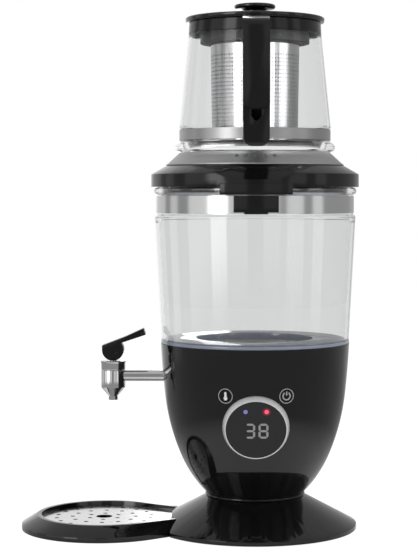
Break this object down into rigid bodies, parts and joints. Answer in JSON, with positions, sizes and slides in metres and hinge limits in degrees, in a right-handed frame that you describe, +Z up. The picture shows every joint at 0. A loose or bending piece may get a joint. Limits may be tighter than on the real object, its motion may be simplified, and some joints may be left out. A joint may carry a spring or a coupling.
{
  "type": "electric samovar",
  "caption": "Electric samovar with a heated bowl, glass water tank, side tap, drip tray, temperature display and a glass teapot with infuser on its lid.",
  "frame": {"origin": "on the axis of the tank, in the plane of the surface that the samovar stands on", "axes": "+Z up along the tank's axis; the display and the teapot's handle face -Y; the tap and drip tray are at -X"},
  "size_m": [0.3124, 0.2114, 0.4852],
  "materials": {
    "black_gloss": "glossy black moulded plastic",
    "black_satin": "satin black moulded plastic",
    "black_matte": "matte black moulded plastic",
    "rubber_dark": "matte rubber",
    "silicone_blue": "smooth blue-grey silicone",
    "silicone_clear": "smooth grey silicone",
    "steel_brushed": "brushed stainless steel",
    "steel_polished": "polished steel",
    "screw_steel": "zinc plated steel",
    "tank_clear": "clear heat-proof glass",
    "window_dark": "tinted dark window",
    "digits_white": "pale lit numerals",
    "led_blue": "blue pilot lamp",
    "led_red": "red pilot lamp",
    "board_green": "green circuit board",
    "heater_alu": "cast aluminium",
    "heater_tube": "heat-stained steel tube",
    "lead_red": "silicone insulated wire",
    "ceramic": "ceramic case",
    "gasket_red": "red rubber gasket",
    "brass_nut": "plain brass"
  },
  "bodies": {
    "stand": {"base_foot": "black_gloss", "base_cover": "black_matte", "foot_pad": "rubber_dark", "cover_screws": "screw_steel", "cord_gland": "rubber_dark", "neck_ring": "black_satin", "neck_screws": "screw_steel", "lower_housing": "black_gloss", "boiler_cup": "steel_polished", "heater_plate": "heater_alu", "heater_ring": "heater_tube", "element_leads": "lead_red", "temp_sensor": "steel_brushed", "thermal_cutout": "ceramic", "power_board": "board_green", "board_screws": "screw_steel", "seal_ring": "silicone_blue", "display_bezel": "steel_polished", "display_window": "window_dark", "display_digits": "digits_white", "digit_module": "black_matte", "display_board": "board_green", "warm_led": "led_blue", "heat_led": "led_red", "key_switches": "black_matte", "key_boards": "board_green", "glass_tank": "tank_clear", "tank_band": "steel_brushed", "band_buckle": "black_satin", "buckle_screws": "screw_steel", "tap_pipe": "steel_polished", "tap_gaskets": "gasket_red", "tap_nut": "brass_nut", "tap_body": "steel_polished", "tap_bonnet": "steel_polished", "valve_spring": "steel_brushed"},
    "valve": {"valve_stem": "steel_brushed", "valve_seal": "rubber_dark", "lever_pin": "steel_brushed"},
    "lever": {"tap_lever": "black_satin"},
    "warm_button": {"warm_key": "black_satin"},
    "power_button": {"power_key": "black_satin"},
    "tank_cover": {"tank_lid": "black_satin", "lid_seal": "silicone_clear", "lid_dome": "steel_brushed"},
    "teapot": {"teapot_glass": "tank_clear", "teapot_band": "steel_brushed", "teapot_collar": "black_satin", "teapot_handle": "black_satin", "handle_bracket": "black_satin", "handle_screws": "black_matte"},
    "infuser": {"infuser_ring": "black_matte", "infuser_basket": "steel_brushed"},
    "pot_cover": {"teapot_lid": "black_gloss", "lid_knob": "black_gloss", "knob_screw": "screw_steel"},
    "tray": {"drip_tray": "black_gloss"},
    "plate": {"drip_plate": "steel_brushed"}
  },
  "joints": [
    {"name": "lever_flip", "type": "hinge", "parent": "valve", "child": "lever", "pos_m": [-0.1317, 0, 0.1616], "axis": [0, -1, 0], "range_deg": [0, 90]},
    {"name": "stem_lift", "type": "slide", "parent": "stand", "child": "valve", "axis": [0, 0, 1], "range_m": [0, 0.003], "deforming": ["valve_spring"]},
    {"name": "warm_press", "type": "slide", "parent": "stand", "child": "warm_button", "axis": [0.3172, 0.9427, 0.1035], "range_m": [0, 0.0006], "stiffness_N_per_m": 800},
    {"name": "power_press", "type": "slide", "parent": "stand", "child": "power_button", "axis": [-0.3172, 0.9427, 0.1035], "range_m": [0, 0.0006], "stiffness_N_per_m": 800},
    {"name": "tank_cover_lift", "type": "slide", "parent": "stand", "child": "tank_cover", "axis": [0, 0, 1], "range_m": [0, 0.1]},
    {"name": "teapot_lift", "type": "slide", "parent": "tank_cover", "child": "teapot", "axis": [0, 0, 1], "range_m": [0, 0.1]},
    {"name": "infuser_lift", "type": "slide", "parent": "teapot", "child": "infuser", "axis": [0, 0, 1], "range_m": [0, 0.12]},
    {"name": "pot_cover_lift", "type": "slide", "parent": "infuser", "child": "pot_cover", "axis": [0, 0, 1], "range_m": [0, 0.05]},
    {"name": "tray_pull", "type": "slide", "parent": "stand", "child": "tray", "axis": [-1, 0, 0], "range_m": [0, 0.12]},
    {"name": "plate_lift", "type": "slide", "parent": "tray", "child": "plate", "axis": [0, 0, 1], "range_m": [0, 0.03]}
  ],
  "couplings": [
    {"joint": "stem_lift", "follows": "lever_flip", "m_per_rad": 0.0019099}
  ]
}
